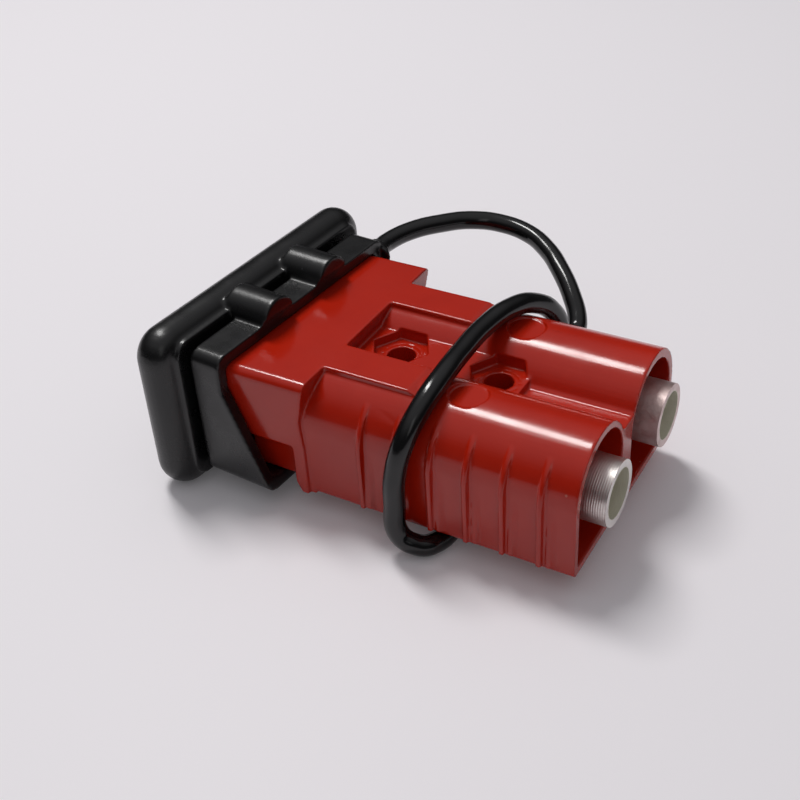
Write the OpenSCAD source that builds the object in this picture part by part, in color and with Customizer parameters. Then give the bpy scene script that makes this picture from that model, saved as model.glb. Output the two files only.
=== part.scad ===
// Genderless two-pole power connector with its rubber dust cover.
// X runs across the poles, Y from the cable end to the mating end, Z up from the table.
// All sizes are in millimetres.

/* [Housing] */
// Length from the cable end to the mating end
housing_len = 79.4; // [77:0.2:84]
// Width of the rear body, without its ribs
body_w = 53.6; // [52.6:0.2:55.6]
// Height of the housing over its crests
housing_h = 29; // [28:0.2:31]
// Distance between the two poles
pole_pitch = 28.6; // [28:0.2:29.4]
// Depth of the valley between the two crests
valley_depth = 6.4; // [5.6:0.1:7]
// How far the ribs and the hood stand out of the body's flanks
rib_proud = 1; // [0.6:0.1:1.4]
// Wall between a cable pocket and the outside
pocket_wall = 1.9; // [1.5:0.1:2.3]
// Web between the two cable pockets
pocket_web = 5.2; // [4.4:0.2:6]
// Depth of the cable pockets
pocket_depth = 24; // [20:0.5:25]

/* [Hood] */
// Length of the hood's roof
hood_len = 18.4; // [17:0.2:20]
// Thickness of the hood's walls
hood_wall = 2.2; // [1.8:0.1:2.6]
// Radius of the hood's long top edges
hood_edge_r = 2.2; // [1.4:0.1:2.8]
// How far the hood's rear wall leans forward from its roof to its lower edge
hood_lean = 4.4; // [2:0.2:5]
// How far the contact tongues stop short of the hood's mouth
tongue_setback = 3; // [2:0.2:5]
// Thickness of the divider between the two poles in the mouth
divider_w = 3.2; // [2.6:0.2:4]

/* [Ribs and crests] */
// Ribs on each flank
rib_count = 6; // [4:1:6]
// Distance from the cable end to the middle of the first rib
rib_first = 5.4; // [4:0.2:6]
// Distance from one rib to the next
rib_pitch = 8.3; // [7.5:0.1:8.6]
// Width of a rib at its foot
rib_w = 2; // [1.6:0.1:2.4]
// Width of the flat pad on each crest
crest_pad_w = 9.4; // [8:0.2:10]
// Length of the flat pad on each crest
crest_pad_len = 24; // [20:0.5:28]
// How far a crest pad stands above the round hump
crest_pad_rise = 0.3; // [0.2:0.05:0.5]
// Diameter of the flat disc sunk into each crest
disc_d = 8.6; // [7:0.2:9.4]

/* [Screw holes] */
// Diameter of the two screw holes
hole_d = 6.4; // [5.8:0.1:6.8]
// Distance between the two screw holes
hole_gap = 24; // [23:0.2:25]
// Distance from the cable end to the first screw hole
hole_first = 29.3; // [28.8:0.1:30]
// Width across the flats of the nut pockets
nut_flats = 11.8; // [11:0.1:12.4]

/* [Contacts] */
// Outer diameter of a crimp barrel
barrel_d = 14.2; // [13:0.1:15]
// Inner diameter of a crimp barrel
barrel_bore = 10.8; // [9:0.1:11.4]
// Length of a crimp barrel
barrel_len = 34; // [31:0.5:35]
// Depth of the crimp barrel's bore
bore_depth = 25; // [20:0.5:28]
// How far a crimp barrel stands out of its cable pocket
barrel_out = 3.8; // [3:0.1:6]
// Width of a contact blade
blade_w = 15; // [13:0.2:16]
// Thickness of a contact blade
blade_t = 3; // [2.4:0.1:3.4]

/* [Springs] */
// Width of a contact spring
spring_w = 9; // [8:0.2:10.4]
// Thickness of a contact spring
spring_t = 0.8; // [0.6:0.05:1]
// Length of a contact spring
spring_len = 30; // [26:0.5:32]

/* [Dust cover] */
// Width of the end plate
plate_w = 74.4; // [70:0.2:78]
// Height of the end plate
plate_h = 41; // [40:0.2:43]
// Thickness of the end plate
plate_t = 9; // [8:0.2:10]
// Radius of the end plate's corners, seen from the front
plate_corner_r = 7; // [6:0.2:9]
// Thickness of the skirt round the hood
skirt_t = 2.8; // [2.4:0.1:3.2]
// Length of the skirt along its top
skirt_len = 9; // [8:0.2:11]
// How much longer the skirt is along its underside
skirt_slant = 8; // [6:0.2:9]
// Length of the groove between the skirt and the end plate
groove_len = 2.4; // [1.8:0.2:3.2]
// Diameter of the two half-round lugs on the skirt
lug_d = 10.6; // [9:0.2:12]
// Distance between the two half-round lugs
lug_gap = 20; // [18:0.2:24]

/* [Tether] */
// Thickness of the rubber cord
cord_d = 4.7; // [4.2:0.1:5.2]
// Room between the cord and the housing
cord_gap = 0.3; // [0.2:0.05:0.5]
// Length of the stub that joins the cord to the cover and to the loop
stub_len = 2.4; // [2:0.2:3]

/* [Hidden] */
$fn = 64;
eps = 0.01;
slide_gap = 0.25;

// The housing stands off the table by the loop that passes under it.
rise = cord_d + cord_gap;
mid_z = housing_h / 2;

hump_r = (body_w - pole_pitch) / 2;
hump_x = pole_pitch / 2;
hump_z = housing_h - crest_pad_rise - hump_r;
valley_z = housing_h - valley_depth;
valley_fillet = 2;
flank_x = body_w / 2;
side_x = flank_x + rib_proud;

hood_y = housing_len - hood_len;
hood_low_z = mid_z - 2.4;
collar_y = hood_y + hood_lean;
collar_w = 3;
collar_lap = 1;
mouth_x = side_x - hood_wall;
mouth_top_z = housing_h - hood_wall;
tongue_gap = 0.4;
tongue_x = mouth_x - tongue_gap;
tongue_top_z = mid_z - blade_t;
tongue_low_z = hood_wall + tongue_gap;
tongue_end_y = housing_len - tongue_setback;

nut_z = valley_z;
nut_r = nut_flats / 2 / cos(30);
hole_ys = [hole_first, hole_first + hole_gap];
ring_line = 0.3;
disc_y = hole_first;
disc_depth = crest_pad_rise + 0.5;

pocket_in_x = pocket_web / 2;
pocket_out_x = flank_x - pocket_wall;
pocket_r = (pocket_out_x - pocket_in_x) / 2;
pocket_x = (pocket_out_x + pocket_in_x) / 2;
pocket_arch_z = housing_h - crest_pad_rise - pocket_wall - pocket_r;
tunnel_w = blade_w + 2 * slide_gap;
tunnel_top_z = mid_z + 1;

barrel_end_y = barrel_len - barrel_out;
blade_end_y = tongue_end_y - 1;
spring_slot_z = tongue_top_z - 2.2;
spring_start_y = blade_end_y - 3 - spring_len;

plate_r = plate_t / 2 - 0.1;
skirt_x = side_x + slide_gap + skirt_t;
skirt_top_z = housing_h + slide_gap + skirt_t;
skirt_low_z = tongue_low_z - slide_gap - skirt_t;
skirt_end_y = housing_len + 8.6;
step_t = 1.6;
step_y = skirt_end_y + groove_len;
plate_y = step_y + step_t;
plate_low_z = -rise;
centre_y = (plate_y + plate_t - barrel_out) / 2;

loop_r = hump_r + cord_gap + cord_d / 2;
loop_side_x = side_x + cord_gap + cord_d / 2;
loop_low_z = -cord_gap - cord_d / 2;
loop_bend_r = 4.4;
loop_slack = 1.2;

// ---------- shared shapes ----------

// Sets the connector on the table, centred on its own length.
module place() {
    translate([0, -centre_y, rise]) children();
}

// Extrudes an outline drawn across the connector (X, Z) from one Y to another.
module along(y0, y1) {
    translate([0, y1, 0]) rotate([90, 0, 0]) linear_extrude(height = y1 - y0) children();
}

// Extrudes an outline drawn from the side (Y, Z) from one X to another.
module across(x0, x1) {
    translate([x0, 0, 0]) rotate([90, 0, 90]) linear_extrude(height = x1 - x0) children();
}

// Draws its children on both sides of the middle.
module both() {
    children();
    mirror([1, 0, 0]) children();
}

// A rectangle centred on X, from one height to another, with round corners.
module round_rect(w, z0, z1, r) {
    translate([-w / 2, z0 + r]) square([w, z1 - z0 - 2 * r]);
    translate([-w / 2 + r, z0]) square([w - 2 * r, z1 - z0]);
    for (x = [-w / 2 + r, w / 2 - r], z = [z0 + r, z1 - r]) translate([x, z]) circle(r);
}

// ---------- housing ----------

// Half of the rear body's section, with the hump moved out by push.
module hump_outline(push = 0, drop = 0) {
    translate([hump_x + push, hump_z - drop]) intersection() {
        circle(hump_r);
        translate([-2 * hump_r, 0]) square([4 * hump_r, 2 * hump_r]);
    }
    translate([0, 0]) square([hump_x + push, valley_z - 2]);
    translate([hump_x, 0]) square([hump_r + push, hump_z - drop]);
}

// The valley floor with a fillet against the hump.
module valley_outline() {
    reach = hump_r + valley_fillet;
    centre_z = valley_z + valley_fillet;
    centre_x = hump_x - sqrt(reach * reach - pow(centre_z - hump_z, 2));
    touch_x = hump_x + (centre_x - hump_x) * hump_r / reach;
    touch_z = hump_z + (centre_z - hump_z) * hump_r / reach;
    difference() {
        polygon([[0, mid_z], [hump_x, mid_z], [hump_x, hump_z], [touch_x, touch_z],
                 [centre_x, centre_z], [centre_x, valley_z], [0, valley_z]]);
        translate([centre_x, centre_z]) circle(valley_fillet);
    }
}

module body_outline() {
    both() {
        hump_outline();
        valley_outline();
    }
}

module rear_body() {
    along(0, hood_y + 2) body_outline();
    along(hood_y, collar_y) intersection() {
        body_outline();
        translate([-flank_x, 0]) square([body_w, hood_low_z]);
    }
}

// One rib runs down both flanks and fades out on the shoulder of each hump.
module rib(y) {
    drop = 0.73 * rib_proud;
    both() {
        along(y - rib_w / 2, y + rib_w / 2) hump_outline(rib_proud / 2, drop / 2);
        along(y - rib_w / 4, y + rib_w / 4) hump_outline(rib_proud, drop);
    }
}

module crest_pad() {
    run = 4;
    both() intersection() {
        along(hood_y - crest_pad_len, hood_y + 1)
            polygon([[hump_x - crest_pad_w / 2 - 2, hump_z], [hump_x + crest_pad_w / 2 + 1, hump_z],
                     [hump_x + crest_pad_w / 2, housing_h], [hump_x - crest_pad_w / 2, housing_h]]);
        across(0, side_x)
            polygon([[hood_y - crest_pad_len, hump_z], [hood_y + 1, hump_z], [hood_y + 1, housing_h],
                     [hood_y - crest_pad_len + run, housing_h], [hood_y - crest_pad_len, housing_h - 1.4]]);
    }
}

module hood_shell() {
    difference() {
        intersection() {
            along(hood_y - 1, housing_len) difference() {
                union() {
                    translate([-side_x, hood_low_z])
                        square([2 * side_x, housing_h - hood_edge_r - hood_low_z]);
                    translate([-side_x + hood_edge_r, hood_low_z])
                        square([2 * (side_x - hood_edge_r), housing_h - hood_low_z]);
                    for (s = [-1, 1]) translate([s * (side_x - hood_edge_r), housing_h - hood_edge_r])
                        circle(hood_edge_r);
                }
            }
            across(-side_x, side_x)
                polygon([[collar_y - collar_lap, hood_low_z], [housing_len, hood_low_z],
                         [housing_len, housing_h], [hood_y, housing_h]]);
        }
        along(collar_y + collar_w, housing_len + 1)
            translate([-mouth_x, hood_low_z - 1]) square([2 * mouth_x, mouth_top_z - hood_low_z + 1]);
    }
    along(collar_y, housing_len - 1)
        translate([-divider_w / 2, mid_z]) square([divider_w, mouth_top_z - mid_z + 1]);
}

// The lip that ends the rear body on each flank, below the hood.
module collar() {
    across(-side_x, side_x)
        polygon([[collar_y - collar_w, 0], [collar_y - 1.3, 0], [collar_y, 2.5],
                 [collar_y, hood_low_z + collar_lap], [collar_y - collar_w, hood_low_z + collar_lap]]);
}

// The two tongues that carry the contact blades into the mouth.
module tongues() {
    along(collar_y - 2, collar_y + collar_w + 1)
        translate([-tongue_x, tongue_low_z]) square([2 * tongue_x, mid_z - tongue_low_z]);
    both() along(collar_y, tongue_end_y)
        translate([divider_w / 2 + tongue_gap, tongue_low_z])
            square([tongue_x - divider_w / 2 - tongue_gap, tongue_top_z - tongue_low_z]);
}

module pocket_outline() {
    translate([pocket_x, pocket_arch_z]) circle(pocket_r);
    translate([pocket_in_x, pocket_wall]) square([2 * pocket_r, pocket_arch_z - pocket_wall]);
}

// Everything cut away for one pole: cable pocket, barrel seat, blade tunnel and spring slot.
module pole_cut() {
    along(-1, pocket_depth) pocket_outline();
    translate([hump_x, -1, mid_z]) rotate([-90, 0, 0])
        cylinder(d = barrel_d + 2 * slide_gap, h = barrel_end_y + slide_gap + 1);
    along(pocket_depth, collar_y + collar_w + 2)
        translate([hump_x - tunnel_w / 2, tongue_top_z - slide_gap])
            square([tunnel_w, tunnel_top_z - tongue_top_z + slide_gap]);
    along(spring_start_y - slide_gap, tongue_end_y - 3)
        translate([hump_x - spring_w / 2 - slide_gap, spring_slot_z])
            square([spring_w + 2 * slide_gap, tongue_top_z - spring_slot_z + eps]);
}

module nut_pocket(y) {
    translate([0, y, nut_z]) rotate(90) cylinder(r = nut_r, h = housing_h, $fn = 6);
    translate([0, y, -1]) cylinder(d = hole_d, h = housing_h + 2);
    translate([0, y, nut_z - ring_line]) difference() {
        cylinder(d = hole_d * 1.42, h = 1);
        translate([0, 0, -1]) cylinder(d = hole_d * 1.3, h = 3);
    }
}

module housing() {
    color("firebrick") place() difference() {
        union() {
            rear_body();
            for (i = [0:rib_count - 1]) rib(rib_first + i * rib_pitch);
            crest_pad();
            collar();
            hood_shell();
            tongues();
        }
        both() pole_cut();
        for (y = hole_ys) nut_pocket(y);
        for (s = [-1, 1]) translate([s * (hump_x - 0.4), disc_y, housing_h - disc_depth])
            cylinder(d = disc_d, h = 2);
    }
}

// ---------- contacts and springs ----------

// A crimp barrel with a flat blade that ends in a raised nose.
module contact() {
    translate([hump_x, -barrel_out, mid_z]) rotate([-90, 0, 0]) difference() {
        cylinder(d = barrel_d, h = barrel_len);
        translate([0, 0, -1]) cylinder(d = barrel_bore, h = bore_depth + 1);
    }
    across(hump_x - blade_w / 2, hump_x + blade_w / 2)
        polygon([[barrel_end_y - 3, tongue_top_z], [blade_end_y, tongue_top_z], [blade_end_y, mid_z - 1.2],
                 [blade_end_y - 1.4, mid_z], [barrel_end_y - 3, mid_z]]);
}

module contact_left() {
    color("silver") place() mirror([1, 0, 0]) contact();
}

module contact_right() {
    color("silver") place() contact();
}

// A flat spring whose bow presses up under the blade.
module contact_spring() {
    foot = spring_len / 5;
    flat = 2;
    low = spring_slot_z;
    high = tongue_top_z - spring_t;
    y0 = spring_start_y;
    y1 = spring_start_y + spring_len;
    ymid = (y0 + y1) / 2;
    across(hump_x - spring_w / 2, hump_x + spring_w / 2)
        polygon([[y0, low], [y0 + foot, low], [ymid - flat, high], [ymid + flat, high], [y1 - foot, low],
                 [y1, low], [y1, low + spring_t], [y1 - foot, low + spring_t], [ymid + flat, high + spring_t],
                 [ymid - flat, high + spring_t], [y0 + foot, low + spring_t], [y0, low + spring_t]]);
}

module spring_left() {
    color("gainsboro") place() mirror([1, 0, 0]) contact_spring();
}

module spring_right() {
    color("gainsboro") place() contact_spring();
}

// ---------- dust cover ----------

// The pillow-shaped end plate.
module end_plate() {
    ring_r = plate_corner_r - plate_r;
    inset = plate_corner_r;
    hull() for (x = [-1, 1], z = [plate_low_z + inset, plate_low_z + plate_h - inset], y = [-1, 1])
        translate([x * (plate_w / 2 - inset), plate_y + plate_t / 2 + y * (plate_t / 2 - plate_r), z])
            rotate([90, 0, 0]) rotate_extrude($fn = 32) intersection() {
                translate([ring_r, 0]) circle(plate_r, $fn = 24);
                translate([0, -plate_r]) square([plate_corner_r, 2 * plate_r]);
            }
}

module skirt() {
    difference() {
        intersection() {
            along(housing_len - skirt_len - skirt_slant, skirt_end_y)
                round_rect(2 * skirt_x, skirt_low_z, skirt_top_z, 3);
            across(-skirt_x, skirt_x)
                polygon([[skirt_end_y, skirt_low_z], [skirt_end_y, skirt_top_z],
                         [skirt_end_y - skirt_len, skirt_top_z],
                         [skirt_end_y - skirt_len - skirt_slant, skirt_low_z]]);
        }
        along(0, housing_len + slide_gap)
            round_rect(2 * (side_x + slide_gap), tongue_low_z - slide_gap, housing_h + slide_gap,
                       hood_edge_r);
    }
}

// The part of the cover that fills the hood's mouth above the contacts.
module plug() {
    difference() {
        along(collar_y + collar_w + 1, skirt_end_y)
            round_rect(2 * (mouth_x - slide_gap), mid_z + slide_gap, mouth_top_z - slide_gap, 1);
        along(0, housing_len - 1 + slide_gap)
            translate([-divider_w / 2 - slide_gap, 0]) square([divider_w + 2 * slide_gap, housing_h]);
    }
}

module lugs() {
    for (s = [-1, 1]) translate([s * lug_gap / 2, skirt_end_y - skirt_len, skirt_top_z - 0.6])
        rotate([-90, 0, 0]) cylinder(d = lug_d, h = plate_y + 1 - skirt_end_y + skirt_len);
}

module dust_cover() {
    neck = 3.2;
    color("dimgray") place() {
        skirt();
        plug();
        difference() {
            lugs();
            along(0, housing_len + slide_gap)
                translate([-side_x, 0]) square([2 * side_x, housing_h + slide_gap]);
        }
        along(skirt_end_y - 2, plate_y + 1)
            round_rect(2 * (skirt_x - neck), skirt_low_z + neck, skirt_top_z - neck, 2);
        along(step_y, plate_y + 2) round_rect(2 * (skirt_x + 2), skirt_low_z - 1.5, skirt_top_z + 1.5, 4);
        end_plate();
        translate([skirt_x - 1, cord_start[1], cord_start[2]]) rotate([0, 90, 0])
            cylinder(d = cord_d + 1.6, h = stub_len + 1);
    }
}

// ---------- tether ----------

// Smooth curve through points: each stretch is cut into steps.
function blend(a, b, c, d, t) =
    0.5 * ((2 * b) + (c - a) * t + (2 * a - 5 * b + 4 * c - d) * t * t + (3 * b - a - 3 * c + d) * t * t * t);
function smooth_loop(p, steps) = [for (i = [0:len(p) - 1], s = [0:steps - 1])
    blend(p[(i + len(p) - 1) % len(p)], p[i], p[(i + 1) % len(p)], p[(i + 2) % len(p)], s / steps)];

function unit(v) = v / norm(v);
function ring_at(p, dir, up, r, sides) =
    let (side = unit(cross(dir, up)), top = cross(side, dir))
    [for (k = [0:sides - 1]) p + r * (cos(360 * k / sides) * side + sin(360 * k / sides) * top)];
function skin(rings, sides, last) = [for (i = [0:last - 1], k = [0:sides - 1])
    [i * sides + k, i * sides + (k + 1) % sides, ((i + 1) % rings) * sides + (k + 1) % sides,
     ((i + 1) % rings) * sides + k]];

module open_tube(p, r, sides) {
    n = len(p);
    points = [for (i = [0:n - 1])
        each ring_at(p[i], unit(p[min(i + 1, n - 1)] - p[max(i - 1, 0)]), [0, 0, 1], r, sides)];
    polyhedron(points, concat(skin(n, sides, n - 1), [[for (k = [sides - 1:-1:0]) k]],
                              [[for (k = [0:sides - 1]) (n - 1) * sides + k]]));
}

module closed_tube(p, r, sides) {
    n = len(p);
    points = [for (i = [0:n - 1])
        each ring_at(p[i], unit(p[(i + 1) % n] - p[(i + n - 1) % n]), [0, 1, 0], r, sides)];
    polyhedron(points, skin(n, sides, n));
}

// Stations of the loop, from the near crest down the left flank, under, up the right flank and over.
function over(side, angle) = [side * (hump_x + loop_r * sin(angle)), hump_z + loop_r * cos(angle)];
function under(side, angle) = [side * (loop_side_x + loop_slack - loop_bend_r * (1 - cos(angle))),
                               loop_low_z + loop_bend_r - loop_bend_r * sin(angle)];
loop_out = loop_side_x - hump_x - loop_r;
function flank(side, z) = [side * loop_side_x, z];
loop_stations = [
    [over(-1, 0), 35], [over(-1, 30), 35.4], [over(-1, 60) - [loop_out, 0], 36.6], [flank(-1, hump_z), 38],
    [flank(-1, 9) - [loop_slack / 2, 0], 38.4], [under(-1, 0), 37.6], [under(-1, 45), 34.6],
    [under(-1, 90), 32],
    [[-14, loop_low_z], 30.6], [[0, loop_low_z], 29.8], [[14, loop_low_z], 29],
    [under(1, 90), 28.4], [under(1, 45), 28.2], [under(1, 0), 28], [flank(1, 9) + [loop_slack / 2, 0], 28],
    [flank(1, hump_z), 28.2], [over(1, 60) + [loop_out, 0], 29.4], [over(1, 30), 32], [over(1, 0), 34],
    [[5, housing_h + cord_gap + cord_d / 2], 35.4], [[-5, housing_h + cord_gap + cord_d / 2], 35.4]];
loop_points = [for (s = loop_stations) [s[0][0], s[1], s[0][1]]];

join_y = 28;
join_z = 13;
join_x = loop_side_x + cord_d / 2 + stub_len;

module tether_loop() {
    color("dimgray") place() {
        closed_tube(smooth_loop(loop_points, 2), cord_d / 2, 10);
        translate([loop_side_x + loop_slack / 2, join_y, join_z]) rotate([0, 90, 0])
            cylinder(d = cord_d, h = join_x - loop_side_x - loop_slack / 2);
    }
}

// Route of the free cord from the cover's right side to the loop.
stub_back = 0.9;
cord_start = [skirt_x + stub_len, housing_len - stub_back, 26.5];
cord_route = [cord_start, [37, cord_start[1], 26.5], [45, 76, 26.5], [52.5, 71.2, 26], [59, 65.5, 25],
              [62, 58.5, 24], [61.5, 51, 23], [57.5, 44, 22], [52, 38, 20.5], [46.5, 32.5, 17.5], [42, 29, 14.5],
              [39, join_y, join_z], [join_x, join_y, join_z]];

module tether_cord() {
    color("dimgray") place() open_tube(cord_route, cord_d / 2, 10);
}

housing();
contact_left();
contact_right();
spring_left();
spring_right();
dust_cover();
tether_loop();
tether_cord();
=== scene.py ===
"""Dresses the genderless power connector: moulded housing, plated contacts, rubber cover and its tether."""

import logging
import math
from collections.abc import Callable
from dataclasses import dataclass, replace
from enum import Enum

import bmesh
import bpy
from mathutils import Matrix, Vector


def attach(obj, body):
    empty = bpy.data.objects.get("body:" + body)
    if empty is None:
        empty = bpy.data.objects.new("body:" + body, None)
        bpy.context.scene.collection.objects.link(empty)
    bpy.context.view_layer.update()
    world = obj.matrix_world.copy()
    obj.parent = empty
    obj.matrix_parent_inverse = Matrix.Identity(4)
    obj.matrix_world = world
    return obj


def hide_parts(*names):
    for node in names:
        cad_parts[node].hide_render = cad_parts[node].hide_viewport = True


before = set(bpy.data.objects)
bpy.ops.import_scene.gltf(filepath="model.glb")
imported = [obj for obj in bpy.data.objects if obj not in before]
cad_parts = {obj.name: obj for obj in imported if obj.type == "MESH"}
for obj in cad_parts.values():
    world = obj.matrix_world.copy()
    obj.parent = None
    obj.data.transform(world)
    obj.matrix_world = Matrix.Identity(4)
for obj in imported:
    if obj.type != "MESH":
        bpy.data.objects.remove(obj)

LOG = logging.getLogger("connector")
Triple = tuple[float, float, float]
Mover = Callable[[float, float, float], Triple]

MM = 0.001
# Where the drawing's own zero lies: the cable end of the housing, and its underside above the table.
CENTRE_Y = 48.6
RISE = 5.0
# Millimetres on the drawing that several pieces share.
POLE_X = 14.3
BARREL_Z = 14.5
HUMP_R = 12.5
HUMP_Z = 16.2
MOUTH_START = 70.0
MOUTH_END = 79.4
MOUTH_REACH = 2.1
CORD_D = 4.7


def at(x: float, y: float, z: float) -> Vector:
    """Turns a point of the drawing, in millimetres, into the frame's metres."""
    return Vector((x * MM, (y - CENTRE_Y) * MM, (z + RISE) * MM))


class Slot(Enum):
    """The record's slots of the pieces that are made anew."""

    PLASTIC = "housing_plastic"
    RUBBER = "black_rubber"


# ---------------------------------------------------------------- shader groups


def node_in(tree: bpy.types.NodeTree, kind: str, **values: object) -> bpy.types.Node:
    """Adds a node to a tree and sets the inputs that are named, with _ for a space."""
    node = tree.nodes.new(kind)
    for key, value in values.items():
        node.inputs[key.replace("_", " ")].default_value = value
    return node


def math_in(tree: bpy.types.NodeTree, operation: str,
            *terms: bpy.types.NodeSocket | float) -> bpy.types.NodeSocket:
    """Works out sockets and plain numbers together and returns the result's socket."""
    node = tree.nodes.new("ShaderNodeMath")
    node.operation = operation
    for place, term in zip(node.inputs, terms):
        if isinstance(term, float):
            place.default_value = term
        else:
            tree.links.new(term, place)
    return node.outputs[0]


def wire(tree: bpy.types.NodeTree, *pairs: tuple[bpy.types.NodeSocket, bpy.types.NodeSocket]) -> None:
    """Links sockets in a tree, two by two."""
    for source, target in pairs:
        tree.links.new(source, target)


@dataclass(frozen=True)
class ShaderGroups:
    """Shared surface effects, each one node group that is built once."""

    grain: bpy.types.NodeTree
    clouding: bpy.types.NodeTree
    dust: bpy.types.NodeTree

    @staticmethod
    def _start(name: str, output: str, **inputs: float) -> tuple:
        """Makes an empty group with its sockets.

        Args:
            name: Name of the group.
            output: Name of its output.
            **inputs: The numbers that it takes, with their default values.

        Returns:
            The group, the sockets that it takes and the socket that it gives.
        """
        group = bpy.data.node_groups.new(name, "ShaderNodeTree")
        group.interface.new_socket(name="Vector", in_out="INPUT", socket_type="NodeSocketVector")
        for key, value in inputs.items():
            socket = group.interface.new_socket(name=key, in_out="INPUT", socket_type="NodeSocketFloat")
            socket.default_value = value
        group.interface.new_socket(name=output, in_out="OUTPUT", socket_type="NodeSocketFloat")
        enter = group.nodes.new("NodeGroupInput")
        leave = group.nodes.new("NodeGroupOutput")
        return group, enter.outputs, leave.inputs[output]

    @classmethod
    def build(cls) -> "ShaderGroups":
        """Builds the three groups."""
        return cls(grain=cls._grain(), clouding=cls._clouding(), dust=cls._dust())

    @classmethod
    def _grain(cls, wide_share: float = 0.2) -> bpy.types.NodeTree:
        """A fine two-scale grain, for bump and for breaking up gloss."""
        group, given, height = cls._start("fine_grain", "Height", Scale=900.0, Coarse=0.4)
        fine = node_in(group, "ShaderNodeTexNoise", Detail=3.0)
        wide = node_in(group, "ShaderNodeTexNoise", Detail=2.0)
        mix = group.nodes.new("ShaderNodeMix")
        wide_scale = math_in(group, "MULTIPLY", given["Scale"], wide_share)
        wire(group, (given["Vector"], fine.inputs["Vector"]), (given["Vector"], wide.inputs["Vector"]),
             (given["Scale"], fine.inputs["Scale"]), (wide_scale, wide.inputs["Scale"]),
             (given["Coarse"], mix.inputs["Factor"]), (fine.outputs["Fac"], mix.inputs["A"]),
             (wide.outputs["Fac"], mix.inputs["B"]), (mix.outputs["Result"], height))
        return group

    @classmethod
    def _clouding(cls) -> bpy.types.NodeTree:
        """Broad soft patches, for slow changes of tone and gloss across a moulding."""
        group, given, value = cls._start("clouding", "Value", Scale=40.0, Low=0.0, High=1.0)
        noise = node_in(group, "ShaderNodeTexNoise", Detail=4.0, Roughness=0.6)
        ramp = node_in(group, "ShaderNodeMapRange", From_Min=0.3, From_Max=0.7)
        wire(group, (given["Vector"], noise.inputs["Vector"]), (given["Scale"], noise.inputs["Scale"]),
             (noise.outputs["Fac"], ramp.inputs["Value"]), (given["Low"], ramp.inputs["To Min"]),
             (given["High"], ramp.inputs["To Max"]), (ramp.outputs["Result"], value))
        return group

    @classmethod
    def _dust(cls) -> bpy.types.NodeTree:
        """A few pale specks, as a mask."""
        group, given, mask = cls._start("dust_specks", "Mask", Scale=700.0, Amount=0.1)
        cells = group.nodes.new("ShaderNodeTexVoronoi")
        near = node_in(group, "ShaderNodeMapRange", From_Min=0.16, From_Max=0.06)
        split = group.nodes.new("ShaderNodeSeparateColor")
        wire(group, (given["Vector"], cells.inputs["Vector"]), (given["Scale"], cells.inputs["Scale"]),
             (cells.outputs["Distance"], near.inputs["Value"]),
             (cells.outputs["Color"], split.inputs["Color"]))
        chosen = math_in(group, "LESS_THAN", split.outputs["Red"], given["Amount"])
        wire(group, (math_in(group, "MULTIPLY", near.outputs["Result"], chosen), mask))
        return group


# ---------------------------------------------------------------- finishes


class NodeSheet:
    """A material's node tree, with short calls to add and join nodes."""

    def __init__(self, name: str) -> None:
        """Starts a material called name with a Principled shader."""
        self.material = bpy.data.materials.new(name)
        self.material.use_nodes = True
        self.tree = self.material.node_tree
        self.shader = self.tree.nodes["Principled BSDF"]
        self.coords = self.add("ShaderNodeTexCoord")

    def add(self, kind: str, **values: object) -> bpy.types.Node:
        """Adds a node and sets the inputs that are named, with _ for a space."""
        return node_in(self.tree, kind, **values)

    def group(self, tree: bpy.types.NodeTree, **values: float) -> bpy.types.Node:
        """Places a shared group, on Object coordinates, with its own values."""
        node = self.add("ShaderNodeGroup")
        node.node_tree = tree
        for key, value in values.items():
            node.inputs[key].default_value = value
        self.join(self.coords.outputs["Object"], node.inputs["Vector"])
        return node

    def join(self, source: bpy.types.NodeSocket, target: bpy.types.NodeSocket) -> None:
        """Links one socket to another."""
        self.tree.links.new(source, target)

    def set(self, **values: object) -> None:
        """Sets plain values on the Principled shader's own sockets, with _ for a space."""
        for key, value in values.items():
            self.shader.inputs[key.replace("_", " ")].default_value = value

    def math(self, operation: str, *terms: bpy.types.NodeSocket | float) -> bpy.types.NodeSocket:
        """Works out sockets and plain numbers together and returns the result's socket."""
        return math_in(self.tree, operation, *terms)

    def vector(self, operation: str, source: bpy.types.NodeSocket, value: Triple | None = None,
               result: str = "Vector") -> bpy.types.NodeSocket:
        """Works out a vector.

        Args:
            operation: What is done to it.
            source: The vector's socket.
            value: The second vector, where the operation takes one.
            result: Name of the output that is wanted.

        Returns:
            The result's socket.
        """
        node = self.add("ShaderNodeVectorMath")
        node.operation = operation
        self.join(source, node.inputs[0])
        if value is not None:
            node.inputs[1].default_value = value
        return node.outputs[result]

    def tone(self, low: Triple | bpy.types.NodeSocket, high: Triple,
             mask: bpy.types.NodeSocket) -> bpy.types.NodeSocket:
        """Mixes two colours by a mask and returns the result's socket; the first may be a socket."""
        mix = self.add("ShaderNodeMix")
        mix.data_type = "RGBA"
        if isinstance(low, tuple):
            mix.inputs["A"].default_value = (*low, 1.0)
        else:
            self.join(low, mix.inputs["A"])
        mix.inputs["B"].default_value = (*high, 1.0)
        self.join(mask, mix.inputs["Factor"])
        return mix.outputs["Result"]

    def gloss(self, groups: ShaderGroups, scale: float, span: tuple[float, float]) -> None:
        """Lets the roughness drift in patches between the two ends of a span."""
        patches = self.group(groups.clouding, Scale=scale, Low=span[0], High=span[1])
        self.join(patches.outputs["Value"], self.shader.inputs["Roughness"])

    def bump(self, height: bpy.types.NodeSocket, depth: float, strength: float) -> None:
        """Feeds a height, in metres once times depth, to the shader's normal."""
        node = self.add("ShaderNodeBump", Strength=strength, Distance=depth)
        self.join(height, node.inputs["Height"])
        self.join(node.outputs["Normal"], self.shader.inputs["Normal"])


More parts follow.
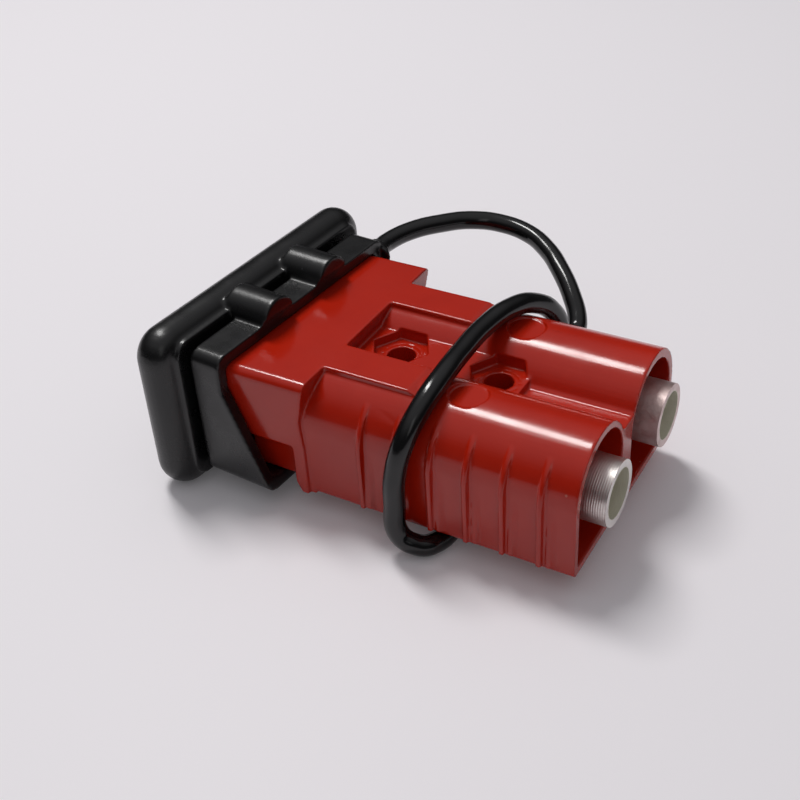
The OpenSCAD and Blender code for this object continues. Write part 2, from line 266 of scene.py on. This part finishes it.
@dataclass(frozen=True)
class MouldedFinish:
    """A moulded surface with drifting tone and gloss, a fine grain and a few specks."""

    name: str
    deep: Triple
    bright: Triple
    speck: Triple
    speck_scale: float
    speck_share: float
    tone_scale: float
    gloss: tuple[float, float]
    gloss_scale: float
    grain_scale: float
    grain_coarse: float
    grain_depth: float
    grain_strength: float
    ior: float = 1.5

    def build(self, groups: ShaderGroups) -> bpy.types.Material:
        """Builds the material from the shared groups."""
        sheet = NodeSheet(self.name)
        clouds = sheet.group(groups.clouding, Scale=self.tone_scale)
        specks = sheet.group(groups.dust, Scale=self.speck_scale, Amount=self.speck_share)
        body = sheet.tone(self.deep, self.bright, clouds.outputs["Value"])
        body = sheet.tone(body, self.speck, specks.outputs["Mask"])
        sheet.join(body, sheet.shader.inputs["Base Color"])
        sheet.gloss(groups, self.gloss_scale, self.gloss)
        grain = sheet.group(groups.grain, Scale=self.grain_scale, Coarse=self.grain_coarse)
        sheet.bump(grain.outputs["Height"], self.grain_depth, self.grain_strength)
        sheet.set(IOR=self.ior)
        return sheet.material


RED_PLASTIC = MouldedFinish(
    name="red_glossy_plastic", deep=(0.415, 0.0125, 0.0030), bright=(0.465, 0.0155, 0.0038),
    speck=(0.50, 0.16, 0.12), speck_scale=420.0, speck_share=0.008, tone_scale=55.0,
    gloss=(0.13, 0.21), gloss_scale=130.0, grain_scale=650.0, grain_coarse=0.75,
    grain_depth=0.00004, grain_strength=0.25)
BLACK_RUBBER = MouldedFinish(
    name="black_rubber", deep=(0.0028, 0.0028, 0.0030), bright=(0.0048, 0.0048, 0.0052),
    speck=(0.05, 0.05, 0.055), speck_scale=520.0, speck_share=0.012, tone_scale=70.0,
    gloss=(0.24, 0.34), gloss_scale=160.0, grain_scale=1100.0, grain_coarse=0.6,
    grain_depth=0.00008, grain_strength=0.4)
CORD_RUBBER = replace(BLACK_RUBBER, name="black_cord_rubber", speck_share=0.004, gloss=(0.12, 0.19))


class Tooling(Enum):
    """What left its marks on a metal surface."""

    TURNED = "turned rings"
    TUMBLED = "matte grain"
    ROLLED = "lengthwise rolling lines"


@dataclass(frozen=True)
class PlatedMetal:
    """Metal with a grain from plating and, where asked for, tooling lines and a duller bore."""

    name: str
    tooling: Tooling
    pale: Triple = (0.83, 0.80, 0.77)
    shade: Triple = (0.70, 0.665, 0.64)
    tone_scale: float = 240.0
    rough: tuple[float, float] = (0.24, 0.42)
    rough_scale: float = 500.0
    metallic: float = 1.0
    grain_scale: float = 1500.0
    grain_coarse: float = 0.35
    matte_depth: float = 0.00012
    matte_strength: float = 0.8
    line_scale: float = 620.0
    line_wander: float = 0.8
    line_detail: float = 2.0
    line_depth: float = 0.00005
    line_strength: float = 0.6
    axis: Triple | None = None
    bore_r: float = 5.55
    bore_metallic: float = 0.15
    bore_tone: Triple = (0.74, 0.71, 0.58)

    def _bore(self, sheet: NodeSheet, body: bpy.types.NodeSocket) -> bpy.types.NodeSocket:
        """Gives the inside of a barrel its own duller tone.

        Args:
            sheet: The material's node sheet.
            body: The colour of the outside.

        Returns:
            The socket with both colours.
        """
        away = sheet.vector("SUBTRACT", sheet.coords.outputs["Object"], self.axis)
        across = sheet.vector("MULTIPLY", away, (1.0, 0.0, 1.0))
        reach = sheet.vector("LENGTH", across, result="Value")
        inside = sheet.math("LESS_THAN", reach, self.bore_r * MM)
        dull = sheet.add("ShaderNodeMapRange", To_Min=self.metallic, To_Max=self.bore_metallic)
        sheet.join(inside, dull.inputs["Value"])
        sheet.join(dull.outputs["Result"], sheet.shader.inputs["Metallic"])
        return sheet.tone(body, self.bore_tone, inside)

    def build(self, groups: ShaderGroups) -> bpy.types.Material:
        """Builds the material from the shared groups."""
        sheet = NodeSheet(self.name)
        clouds = sheet.group(groups.clouding, Scale=self.tone_scale)
        body = sheet.tone(self.shade, self.pale, clouds.outputs["Value"])
        if self.axis is not None:
            body = self._bore(sheet, body)
        sheet.join(body, sheet.shader.inputs["Base Color"])
        sheet.gloss(groups, self.rough_scale, self.rough)
        grain = sheet.group(groups.grain, Scale=self.grain_scale, Coarse=self.grain_coarse)
        if self.tooling is Tooling.TUMBLED:
            sheet.bump(grain.outputs["Height"], self.matte_depth, self.matte_strength)
        else:
            wave = sheet.add("ShaderNodeTexWave", Scale=self.line_scale, Distortion=self.line_wander,
                             Detail=self.line_detail)
            wave.bands_direction = "Y" if self.tooling is Tooling.TURNED else "X"
            sheet.join(sheet.coords.outputs["Object"], wave.inputs["Vector"])
            height = sheet.math("ADD", wave.outputs["Fac"], grain.outputs["Height"])
            sheet.bump(height, self.line_depth, self.line_strength)
        sheet.set(Metallic=self.metallic)
        return sheet.material


@dataclass(frozen=True)
class Finishes:
    """All finishes of the connector, built once."""

    plastic: bpy.types.Material
    rubber: bpy.types.Material
    cord: bpy.types.Material
    turned: bpy.types.Material
    matte: bpy.types.Material
    steel: bpy.types.Material

    @classmethod
    def build(cls) -> "Finishes":
        """Builds every material from one set of shader groups."""
        groups = ShaderGroups.build()
        left, right = (tuple(at(side * POLE_X, 0.0, BARREL_Z)) for side in (-1, 1))
        return cls(
            plastic=RED_PLASTIC.build(groups),
            rubber=BLACK_RUBBER.build(groups),
            cord=CORD_RUBBER.build(groups),
            turned=PlatedMetal("silver_turned", Tooling.TURNED, rough=(0.3, 0.46), axis=left).build(groups),
            # The pink in this barrel's silver is a painted reflection of the red housing; the grey under it
            # is the plating's own colour.
            matte=PlatedMetal("silver_matte", Tooling.TUMBLED, pale=(0.78, 0.66, 0.64),
                              shade=(0.55, 0.42, 0.40), rough=(0.42, 0.6), axis=right).build(groups),
            steel=PlatedMetal("spring_steel", Tooling.ROLLED, pale=(0.60, 0.60, 0.61),
                              shade=(0.48, 0.48, 0.50)).build(groups))


# ---------------------------------------------------------------- shared making


def dress(piece: bpy.types.Object, node: str, material: bpy.types.Material) -> None:
    """Gives a new piece its material and its body, in place of its drawn solid.

    Args:
        piece: The new object, with its place in its mesh.
        node: The node that the piece stands for.
        material: The piece's material.
    """
    piece.data.materials.clear()
    piece.data.materials.append(material)
    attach(piece, "root")
    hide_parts(node)


def link(name: str, data: bpy.types.ID) -> bpy.types.Object:
    """Makes an object from mesh or curve data and links it to the scene."""
    piece = bpy.data.objects.new(name, data)
    bpy.context.scene.collection.objects.link(piece)
    return piece


def baked(piece: bpy.types.Object) -> bpy.types.Object:
    """Applies a piece's modifiers, or a curve's thickness, to a plain mesh that takes its place."""
    bpy.context.view_layer.update()
    source = piece.evaluated_get(bpy.context.evaluated_depsgraph_get())
    mesh = bpy.data.meshes.new_from_object(source)
    name = piece.name
    bpy.data.objects.remove(piece)
    mesh.name = name
    return link(name, mesh)


def trimmed(piece: bpy.types.Object, cuts: tuple[bpy.types.Object, ...]) -> bpy.types.Object:
    """Cuts closed solids from a piece, and removes them.

    Args:
        piece: The piece to cut.
        cuts: The solids that are taken away.

    Returns:
        The piece that is left.
    """
    for cut in cuts:
        knife = piece.modifiers.new("cut", "BOOLEAN")
        knife.operation = "DIFFERENCE"
        knife.solver = "EXACT"
        knife.object = cut
    if cuts:
        piece = baked(piece)
    for cut in cuts:
        bpy.data.objects.remove(cut)
    return piece


def closed(name: str, shape: bmesh.types.BMesh) -> bpy.types.Object:
    """Turns a bmesh's faces outwards and links it as an object."""
    bmesh.ops.recalc_face_normals(shape, faces=shape.faces)
    mesh = bpy.data.meshes.new(name)
    shape.to_mesh(mesh)
    shape.free()
    return link(name, mesh)


def prism(name: str, corners: list[Vector], along: Triple) -> bpy.types.Object:
    """Makes a closed solid by drawing a flat face out.

    Args:
        name: Name of the solid.
        corners: The face's corners, in the frame's metres.
        along: How far the face is drawn out, in millimetres.

    Returns:
        The solid.
    """
    shape = bmesh.new()
    face = shape.faces.new([shape.verts.new(corner) for corner in corners])
    grown = bmesh.ops.extrude_face_region(shape, geom=[face])["geom"]
    moved = [part for part in grown if isinstance(part, bmesh.types.BMVert)]
    bmesh.ops.translate(shape, verts=moved, vec=[step * MM for step in along])
    return closed(name, shape)


def post(name: str, centre: Vector, radius: float, height: float, sides: int) -> bpy.types.Object:
    """Makes an upright post with flat ends.

    Args:
        name: Name of the post.
        centre: Its middle, in the frame's metres.
        radius: Its radius to the corners, in millimetres.
        height: Its height in millimetres.
        sides: How many sides it has.

    Returns:
        The post, a closed solid.
    """
    shape = bmesh.new()
    bmesh.ops.create_cone(shape, cap_ends=True, segments=sides, radius1=radius * MM, radius2=radius * MM,
                          depth=height * MM, matrix=Matrix.Translation(centre))
    return closed(name, shape)


def tube(name: str, places: list[Vector], diameter: float, steps: int, ring: bool) -> bpy.types.Object:
    """Draws a round cord through its stations.

    Args:
        name: Name of the cord.
        places: The stations, in the frame's metres.
        diameter: Its thickness in millimetres.
        steps: How many short lengths lie between two stations.
        ring: Whether the cord closes on itself.

    Returns:
        The cord, a curve with thickness.
    """
    curve = bpy.data.curves.new(name, "CURVE")
    curve.dimensions = "3D"
    curve.bevel_depth = diameter / 2 * MM
    curve.bevel_resolution = 6
    curve.resolution_u = steps
    curve.use_fill_caps = not ring
    spline = curve.splines.new("BEZIER")
    spline.bezier_points.add(len(places) - 1)
    spline.use_cyclic_u = ring
    for point, place in zip(spline.bezier_points, places):
        point.co = place
        point.handle_left_type = point.handle_right_type = "AUTO"
    return link(name, curve)


def eased(value: float, knots: tuple[tuple[float, float], ...]) -> float:
    """Reads a value off a line of straight stretches.

    Args:
        value: Where to read.
        knots: The line's points, in rising order.

    Returns:
        The line's height there, held level past its ends.
    """
    if value <= knots[0][0]:
        return knots[0][1]
    for (a, low), (b, high) in zip(knots, knots[1:]):
        if value <= b:
            return low + (high - low) * (value - a) / (b - a)
    return knots[-1][1]


def settled(mesh: bpy.types.Mesh, place: Mover) -> None:
    """Moves each point of a mesh to its place on the drawing.

    Args:
        mesh: The mesh to move.
        place: Turns a point's X, Y and Z on the drawing into its new ones.
    """
    for vert in mesh.vertices:
        spot = vert.co / MM
        vert.co = at(*place(spot.x, spot.y + CENTRE_Y, spot.z - RISE))


def mouth_reach(y: float) -> float:
    """How far the hood's mouth is drawn out inside the cover, at a place along the housing."""
    return MOUTH_REACH * max(0.0, y - MOUTH_START) / (MOUTH_END - MOUTH_START)


@dataclass
class Moulding:
    """A moulded part, taken from its drawn solid and given soft edges."""

    node: str
    name: str
    voxel: float
    passes: int
    triangles: int
    weld: float = 0.000002
    softness: float = 0.5

    def _solid(self) -> bpy.types.Mesh:
        """Copies the drawn solid and joins its doubled points."""
        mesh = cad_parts[self.node].data.copy()
        shape = bmesh.new()
        shape.from_mesh(mesh)
        bmesh.ops.remove_doubles(shape, verts=shape.verts, dist=self.weld)
        shape.to_mesh(mesh)
        shape.free()
        return mesh

    @staticmethod
    def _join(piece: bpy.types.Object, added: tuple[bpy.types.Object, ...]) -> None:
        """Adds closed solids to a piece's mesh, and removes them."""
        shape = bmesh.new()
        for part in (piece, *added):
            shape.from_mesh(part.data)
        shape.to_mesh(piece.data)
        shape.free()
        for part in added:
            bpy.data.objects.remove(part)

    def build(self, after: Mover, before: Mover | None = None, added: tuple[bpy.types.Object, ...] = (),
              cuts: tuple[bpy.types.Object, ...] = ()) -> bpy.types.Object:
        """Works on the solid's copy and gives it one smooth skin.

        Args:
            after: Where each point of the skin goes, before it is smoothed.
            before: Where each point of the solid goes, before anything else.
            added: Closed solids that are fused to the copy.
            cuts: Closed solids that are cut from the copy first.

        Returns:
            The new piece, with its place in its mesh.
        """
        mesh = self._solid()
        if before is not None:
            settled(mesh, before)
        piece = trimmed(link(self.name + "_draft", mesh), cuts)
        self._join(piece, added)
        skin = piece.modifiers.new("skin", "REMESH")
        skin.mode = "VOXEL"
        skin.voxel_size = self.voxel
        skin.use_smooth_shade = True
        piece = baked(piece)
        settled(piece.data, after)
        soften = piece.modifiers.new("soften", "SMOOTH")
        soften.factor = self.softness
        soften.iterations = self.passes
        piece = baked(piece)
        # The skin's faces have four corners, so that each one makes two triangles.
        thin = piece.modifiers.new("thin", "DECIMATE")
        thin.ratio = min(1.0, self.triangles / (2.0 * len(piece.data.polygons)))
        piece = baked(piece)
        piece.name = piece.data.name = self.name
        return piece


# ---------------------------------------------------------------- the connector's pieces


@dataclass
class TetherCord:
    """The free rubber cord from the cover's right side to the loop."""

    steps: int = 10
    curve_share: float = 1.01
    route: tuple[Triple, ...] = (
        (33.25, 78.5, 26.5), (37, 78.5, 26.5), (45, 76, 26.5), (52.5, 71.2, 26), (59, 65.5, 25),
        (62, 58.5, 24), (61.5, 51, 23), (57.5, 44, 22), (52, 38, 20.5), (46.5, 32.5, 17.5), (42, 29, 14.5),
        (39, 28, 13), (35.2, 28, 13))

    def build(self, finishes: Finishes) -> tuple[bpy.types.Object, ...]:
        points = [at(*place) for place in self.route]
        cord = tube("tether_cord_rubber", points, CORD_D, self.steps, ring=False)
        dress(cord, "tether_cord", finishes.cord)
        return (cord,)


@dataclass
class TetherLoop:
    """The rubber loop round the housing, with the stub that the cord joins."""

    gap: float = 0.3
    top_z: float = 29.0
    side_x: float = 27.8
    side_z: float = 9.0
    bend_r: float = 3.4
    slack: float = 0.5
    flat_x: float = 5.0
    under_x: float = 14.0
    steps: int = 8
    stub_sides: int = 28
    join: Triple = (35.2, 28.0, 13.0)

    @property
    def _clear(self) -> float:
        """How far the loop's middle stands off what it lies on."""
        return self.gap + CORD_D / 2

    @property
    def _edge(self) -> float:
        """Where the loop's middle runs down the ribs."""
        return self.side_x + self.gap + CORD_D / 2

    def _over(self, side: int, angle: float, out: float = 0.0) -> tuple[float, float]:
        """A point of the loop over a hump, at an angle from its crest and drawn out sideways."""
        turn, reach = math.radians(angle), HUMP_R + self.gap + CORD_D / 2
        return side * (POLE_X + reach * math.sin(turn)) + side * out, HUMP_Z + reach * math.cos(turn)

    def _under(self, side: int, angle: float) -> tuple[float, float]:
        """A point of the loop's bend under one of the housing's lower corners."""
        turn = math.radians(angle)
        return (side * (self._edge + self.slack - self.bend_r * (1 - math.cos(turn))),
                -self._clear + self.bend_r - self.bend_r * math.sin(turn))

    def stations(self) -> list[Vector]:
        """The points that the loop passes through, in the frame's metres."""
        edge, low, top = self._edge, -self._clear, self.top_z + self.gap + CORD_D / 2
        out = edge - POLE_X - HUMP_R - self.gap - CORD_D / 2
        slack_x = edge + self.slack / 2
        over, under = self._over, self._under
        rows = ((over(-1, 0), 35), (over(-1, 30), 35.4), (over(-1, 60, out), 36.6), ((-edge, HUMP_Z), 38),
                ((-slack_x, self.side_z), 38.4), (under(-1, 0), 37.6), (under(-1, 45), 34.6),
                (under(-1, 90), 32), ((-self.under_x, low), 30.6), ((0, low), 29.8),
                ((self.under_x, low), 29), (under(1, 90), 28.4), (under(1, 45), 28.2), (under(1, 0), 28),
                ((slack_x, self.side_z), 28),
                ((edge, HUMP_Z), 28.2), (over(1, 60, out), 29.4), (over(1, 30), 32), (over(1, 0), 34),
                ((self.flat_x, top), 35.4), ((-self.flat_x, top), 35.4))
        return [at(x, y, z) for (x, z), y in rows]

    def build(self, finishes: Finishes) -> tuple[bpy.types.Object, ...]:
        """Builds the closed loop and its stub as one mesh."""
        loop = baked(tube("tether_loop_rubber", self.stations(), CORD_D, self.steps, ring=True))
        start = self._edge + self.slack / 2
        length = self.join[0] - start
        middle = Matrix.Translation(at(start + length / 2, self.join[1], self.join[2]))
        shape = bmesh.new()
        shape.from_mesh(loop.data)
        bmesh.ops.create_cone(shape, cap_ends=True, segments=self.stub_sides, radius1=CORD_D / 2 * MM,
                              radius2=CORD_D / 2 * MM, depth=length * MM,
                              matrix=middle @ Matrix.Rotation(math.pi / 2, 4, "Y"))
        shape.to_mesh(loop.data)
        shape.free()
        loop.data.shade_smooth()
        dress(loop, "tether_loop", finishes.cord)
        return (loop,)


@dataclass
class Housing:
    """The red two-pole housing."""

    voxel: float = 0.00027
    passes: int = 2
    triangles: int = 195000
    flank_x: float = 26.8
    edge_r: float = 1.5
    edge_end: float = 61.0
    land_half: float = 6.5
    land_low: float = 20.0
    land_z: float = 24.8
    land_ys: tuple[float, float] = (25.9, 61.5)
    nut_r: float = 6.81
    nut_depth: float = 12.0
    hole_ys: tuple[float, float] = (29.3, 53.3)
    trough_z: float = 21.0
    trough_half: float = 2.1
    trough_levels: tuple[float, ...] = (24.2, 23.4, 22.6, 21.7)
    trough_ys: tuple[float, float] = (-1.0, 23.7)
    rib_ys: tuple[float, ...] = (7.3, 15.5, 23.7, 31.9, 40.1, 48.3)
    rib_proud: float = 1.45
    rib_drop: float = 0.73
    rib_depth: float = 1.6
    rib_foot: float = 0.85
    rib_top: float = 0.5
    rib_sweep: float = 66.0
    rib_steps: int = 20
    bare_ys: tuple[float, float] = (3.0, 52.0)
    bare_from: float = 33.0
    disc_at: Triple = (13.9, 29.3, 29.0)
    disc_r: float = 4.3
    disc_depth: float = 1.3
    disc_sides: int = 64
    web_x: float = 24.0
    web_w: float = 3.8
    web_corners: tuple[tuple[float, float], ...] = ((62.4, 12.0), (64.8, 12.0), (63.2, 21.0))

    def _land(self) -> bpy.types.Object:
        """The raised land between the humps, with its two nut pockets."""
        start, end = self.land_ys
        corners = [at(side * self.land_half, start, z) for side, z in (
            (-1, self.land_low), (1, self.land_low), (1, self.land_z), (-1, self.land_z))]
        pockets = tuple(post("nut_pocket", at(0.0, y, self.land_z), self.nut_r, self.nut_depth, sides=6)
                        for y in self.hole_ys)
        return trimmed(prism("valley_land", corners, (0.0, end - start, 0.0)), pockets)

    def _trough(self) -> bpy.types.Object:
        """The open trough behind the land, which follows the humps down."""
        start, end = self.trough_ys
        right = [(POLE_X - math.sqrt(HUMP_R ** 2 - (z - HUMP_Z) ** 2), z) for z in self.trough_levels]
        right.append((self.trough_half, self.trough_z))
        left = [(-x, z) for x, z in reversed(right)]
        return prism("valley_trough", [at(x, start, z) for x, z in (*right, *left)], (0.0, end - start, 0.0))

    def _rib(self, side: int, y: float) -> tuple[bpy.types.Object, bpy.types.Object]:
        """One rib: the straight part on the flank and the sweep over the hump's shoulder."""
        centre_x = POLE_X + self.rib_proud
        centre_z = HUMP_Z - self.rib_drop * self.rib_proud
        reach = centre_x + HUMP_R
        foot = reach - self.rib_depth
        section = [at(side * x, v, centre_z) for x, v in (
            (foot, y - self.rib_foot), (reach, y - self.rib_top),
            (reach, y + self.rib_top), (foot, y + self.rib_foot))]
        flank = prism("rib_flank", section, (0.0, 0.0, self.edge_r - centre_z))
        shape = bmesh.new()
        shape.faces.new([shape.verts.new(corner) for corner in section])
        bmesh.ops.spin(shape, geom=shape.verts[:] + shape.edges[:] + shape.faces[:],
                       cent=at(side * centre_x, y, centre_z), axis=(0.0, 1.0, 0.0),
                       angle=-side * math.radians(self.rib_sweep), steps=self.rib_steps, use_duplicate=False)
        return flank, closed("rib_shoulder", shape)

    def _discs(self) -> tuple[bpy.types.Object, ...]:
        """The round marks sunk into both crests."""
        x, y, z = self.disc_at
        return tuple(post("crest_disc", at(side * x, y, z), self.disc_r, 2 * self.disc_depth, self.disc_sides)
                     for side in (-1, 1))

    def _webs(self) -> tuple[bpy.types.Object, ...]:
        """The slanted webs that carry the collar up to the hood's rear wall."""
        return tuple(prism("collar_web", [at(side * self.web_x, y, z) for y, z in self.web_corners],
                           (side * self.web_w, 0.0, 0.0)) for side in (-1, 1))

    def _bare(self, x: float, y: float, z: float) -> Triple:
        """Brings a point of the drawn ribs back to the flank, so that the new ribs start on a bare body."""
        side, away = math.copysign(1.0, x), abs(x) - POLE_X
        if not self.bare_ys[0] < y < self.bare_ys[1] or away <= 0.0 or z < 0.0:
            return x, y, z
        if z <= HUMP_Z:
            return side * min(abs(x), self.flank_x), y, z
        reach = math.hypot(away, z - HUMP_Z)
        if reach <= HUMP_R or math.degrees(math.atan2(away, z - HUMP_Z)) < self.bare_from:
            return x, y, z
        share = HUMP_R / reach
        return side * (POLE_X + away * share), y, HUMP_Z + (z - HUMP_Z) * share

    def _rounded(self, x: float, y: float, z: float) -> Triple:
        """Rounds the body's lower edges and draws the hood's mouth out inside the cover."""
        y += mouth_reach(y)
        out, low = abs(x) - (self.flank_x - self.edge_r), self.edge_r - z
        if y < self.edge_end and out > 0.0 and low > 0.0 and math.hypot(out, low) > self.edge_r:
            share = self.edge_r / math.hypot(out, low)
            x = math.copysign(self.flank_x - self.edge_r + out * share, x)
            z = self.edge_r - low * share
        return x, y, z

    def build(self, finishes: Finishes) -> tuple[bpy.types.Object, ...]:
        """Builds the housing's moulding and dresses it."""
        ribs = tuple(part for side in (-1, 1) for y in self.rib_ys for part in self._rib(side, y))
        moulding = Moulding("housing", "housing_moulding", self.voxel, self.passes, self.triangles)
        piece = moulding.build(after=self._rounded, before=self._bare,
                               added=(self._land(), *self._webs(), *ribs),
                               cuts=(self._trough(), *self._discs()))
        dress(piece, "housing", finishes.plastic)
        return (piece,)


@dataclass
class DustCover:
    """The rubber dust cover on the mating end, which sits a little askew."""

    voxel: float = 0.00042
    passes: int = 3
    triangles: int = 170000
    skew: float = 4.2
    pivot_y: float = 80.0
    along: tuple[tuple[float, float], ...] = (
        (60.0, -1.1), (79.0, -1.1), (88.0, -2.4), (92.0, -4.1), (101.0, -3.5))
    edge: tuple[tuple[float, float], ...] = (
        (2.4, -2.1), (15.0, 0.3), (24.0, 2.0), (31.5, 0.0), (33.5, -1.0))
    edge_end: float = 88.0
    edge_fade: float = 9.0
    room_x: float = 28.3
    room_zs: tuple[float, float] = (2.2, 29.4)
    wall_y: float = 79.2
    wall_grip: float = 0.6
    plug_x: float = 26.0
    plug_zs: tuple[float, float] = (14.0, 27.2)
    stub_x: float = 31.1
    stub_end: float = 84.0
    stub_zs: tuple[float, float] = (22.0, 31.0)

    def _fits(self, x: float, y: float, z: float) -> bool:
        """Whether a point lies on the stop wall or the plug, which keep to the housing."""
        if abs(x) >= self.room_x or not self.room_zs[0] < z < self.room_zs[1]:
            return False
        plugged = abs(x) < self.plug_x and self.plug_zs[0] < z < self.plug_zs[1]
        return y < self.wall_y + self.wall_grip and (y > self.wall_y or plugged)

    def _place(self, x: float, y: float, z: float) -> Triple:
        """Where a point of the drawn cover lies on the askew one."""
        if self._fits(x, y, z):
            return x, y + mouth_reach(y), z
        if x > self.stub_x and y < self.stub_end and self.stub_zs[0] < z < self.stub_zs[1]:
            return x, y, z
        share = min(1.0, max(0.0, (self.edge_end - y) / self.edge_fade))
        away = y + eased(y, self.along) + share * eased(z, self.edge) - self.pivot_y
        turn = math.radians(self.skew)
        return (x * math.cos(turn) + away * math.sin(turn),
                self.pivot_y - x * math.sin(turn) + away * math.cos(turn), z)

    def build(self, finishes: Finishes) -> tuple[bpy.types.Object, ...]:
        """Builds the cover's moulding, seats it askew and dresses it."""
        moulding = Moulding("dust_cover", "dust_cover_moulding", self.voxel, self.passes, self.triangles)
        piece = moulding.build(after=self._place)
        dress(piece, "dust_cover", finishes.rubber)
        return (piece,)


@dataclass
class Contacts:
    """The two plated contacts and their springs, which keep their drawn shapes."""

    def build(self, finishes: Finishes) -> tuple[bpy.types.Object, ...]:
        """Gives the contacts and the springs their materials."""
        pieces = []
        for name, material in (("contact_left", finishes.turned), ("contact_right", finishes.matte),
                               ("spring_left", finishes.steel), ("spring_right", finishes.steel)):
            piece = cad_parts[name]
            piece.data.materials.clear()
            piece.data.materials.append(material)
            pieces.append(piece)
        return tuple(pieces)


# ---------------------------------------------------------------- studio


@dataclass(frozen=True)
class Lamp:
    """One soft rectangular lamp that faces the connector."""

    name: str
    place: Triple
    size: tuple[float, float]
    power: float
    tint: Triple

    def hang(self) -> None:
        """Hangs the lamp in its place."""
        data = bpy.data.lights.new(self.name, "AREA")
        data.shape = "RECTANGLE"
        data.size, data.size_y = self.size
        data.energy = self.power
        data.color = self.tint
        place = Vector(self.place)
        turn = (-place).to_track_quat("-Z", "Y").to_matrix().to_4x4()
        link(self.name, data).matrix_world = Matrix.Translation(place) @ turn


@dataclass
class Studio:
    """The camera, the pale table and the soft lights."""

    eye: Triple = (-0.19446, -0.11539, 0.18013)
    azimuth: float = 31.956
    elevation: float = 35.793
    roll: float = -3.918
    lens: float = 55.741
    sensor: float = 36.0
    clip: float = 0.005
    table_reach: float = 6.0
    table_tone: tuple[float, ...] = (0.86, 0.835, 0.865, 1.0)
    table_rough: float = 0.5
    table_ior: float = 1.3
    glow: float = 0.05
    glow_tone: tuple[float, ...] = (0.95, 0.93, 0.97, 1.0)
    sky_tone: tuple[float, ...] = (0.98, 0.97, 1.0, 1.0)
    sky_heights: tuple[float, float] = (0.35, 0.95)
    sky_strengths: tuple[float, float] = (0.05, 0.5)
    lamps: tuple[Lamp, ...] = (
        Lamp("key_softbox", place=(0.22, 0.42, 1.02), size=(0.2, 0.5), power=7.0, tint=(1.0, 0.99, 0.98)),
        Lamp("side_softbox", place=(-0.9, -0.75, 0.85), size=(0.4, 0.8), power=0.6, tint=(1.0, 1.0, 1.0)))

    def camera(self) -> None:
        """Sets the camera at its fixed place and angle."""
        az, el, roll = (math.radians(v) for v in (self.azimuth, self.elevation, self.roll))
        ahead = Vector((math.cos(el) * math.cos(az), math.cos(el) * math.sin(az), -math.sin(el)))
        right = ahead.cross(Vector((0, 0, 1))).normalized()
        up = right.cross(ahead)
        across = math.cos(roll) * right + math.sin(roll) * up
        rise = -math.sin(roll) * right + math.cos(roll) * up
        data = bpy.data.cameras.new("studio_camera")
        data.lens = self.lens
        data.sensor_width = self.sensor
        data.clip_start = self.clip
        camera = link("studio_camera", data)
        turn = Matrix((across, rise, -ahead)).transposed().to_4x4()
        camera.matrix_world = Matrix.Translation(self.eye) @ turn
        bpy.context.scene.camera = camera

    def table(self) -> None:
        """Lays the pale table, which looks a little brighter than the lamps make it."""
        mesh = bpy.data.meshes.new("studio_table")
        shape = bmesh.new()
        bmesh.ops.create_grid(shape, x_segments=1, y_segments=1, size=self.table_reach)
        shape.to_mesh(mesh)
        shape.free()
        table = link("studio_table", mesh)
        sheet = NodeSheet("pale_table")
        sheet.set(Base_Color=self.table_tone, Roughness=self.table_rough, IOR=self.table_ior,
                  Emission_Color=self.glow_tone)
        path = sheet.add("ShaderNodeLightPath")
        seen = sheet.math("ADD", path.outputs["Is Camera Ray"], path.outputs["Is Glossy Ray"])
        sheet.join(sheet.math("MULTIPLY", seen, self.glow), sheet.shader.inputs["Emission Strength"])
        mesh.materials.append(sheet.material)

    def sky(self) -> None:
        """Sets the even light from above, which fades towards the horizon."""
        world = bpy.data.worlds.new("studio_air")
        world.use_nodes = True
        tree = world.node_tree
        back = tree.nodes["Background"]
        back.inputs["Color"].default_value = self.sky_tone
        where = tree.nodes.new("ShaderNodeTexCoord")
        split = tree.nodes.new("ShaderNodeSeparateXYZ")
        (low, high), (faint, full) = self.sky_heights, self.sky_strengths
        ramp = node_in(tree, "ShaderNodeMapRange", From_Min=low, From_Max=high, To_Min=faint, To_Max=full)
        ramp.interpolation_type = "SMOOTHSTEP"
        wire(tree, (where.outputs["Generated"], split.inputs[0]), (split.outputs["Z"], ramp.inputs["Value"]),
             (ramp.outputs["Result"], back.inputs["Strength"]))
        bpy.context.scene.world = world

    def build(self) -> None:
        """Builds the whole studio."""
        self.camera()
        self.table()
        self.sky()
        for lamp in self.lamps:
            lamp.hang()
        bpy.context.scene.view_settings.view_transform = "Standard"


def main() -> None:
    """Builds the connector in order."""
    logging.basicConfig(level=logging.INFO, format="%(name)s: %(message)s")
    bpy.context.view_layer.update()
    Studio().build()
    finishes = Finishes.build()
    for maker in (TetherCord(), TetherLoop(), Housing(), DustCover(), Contacts()):
        for piece in maker.build(finishes):
            count = len(piece.data.polygons) if piece.type == "MESH" else 0
            LOG.info("%s: %s, %d faces", type(maker).__name__, piece.name, count)


if __name__ == "__main__":
    main()
